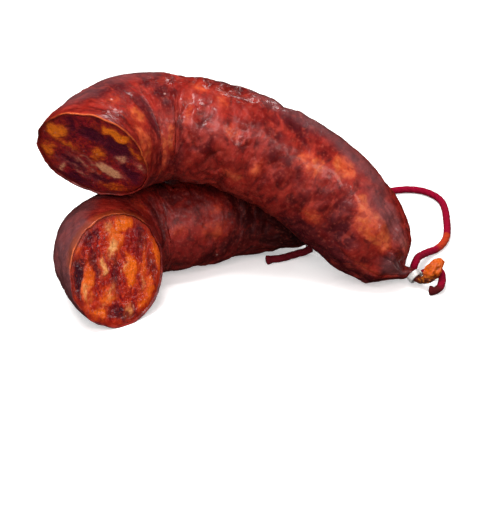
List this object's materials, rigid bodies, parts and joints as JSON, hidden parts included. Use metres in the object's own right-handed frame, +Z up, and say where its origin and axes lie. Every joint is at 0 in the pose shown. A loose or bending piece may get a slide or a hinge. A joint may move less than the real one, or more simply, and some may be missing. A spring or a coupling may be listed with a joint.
{
  "type": "cut horseshoe chorizo",
  "caption": "Dry-cured horseshoe sausage cut through its bend: the casing-wrapped lengths lie crossed, each clipped at its far end, and are joined by their hanging string.",
  "frame": {"origin": "middle of the resting box of the two lengths, without the free string, on the surface they lie on", "axes": "+X runs along the sausage from its cut faces to the tied tip of the upper length, +Y points away from the side that the cut faces look to, +Z is up"},
  "size_m": [0.1578, 0.1221, 0.0793],
  "materials": {
    "casing": "satin",
    "filling": "satin",
    "clip": "satin",
    "string": "matte"
  },
  "bodies": {
    "root": {"upper_casing": "casing", "upper_filling": "filling", "upper_clip": "clip", "upper_string_end": "string", "lower_casing": "casing", "lower_filling": "filling", "lower_clip": "clip", "lower_string_end": "string", "tie_string": "string"}
  },
  "joints": []
}
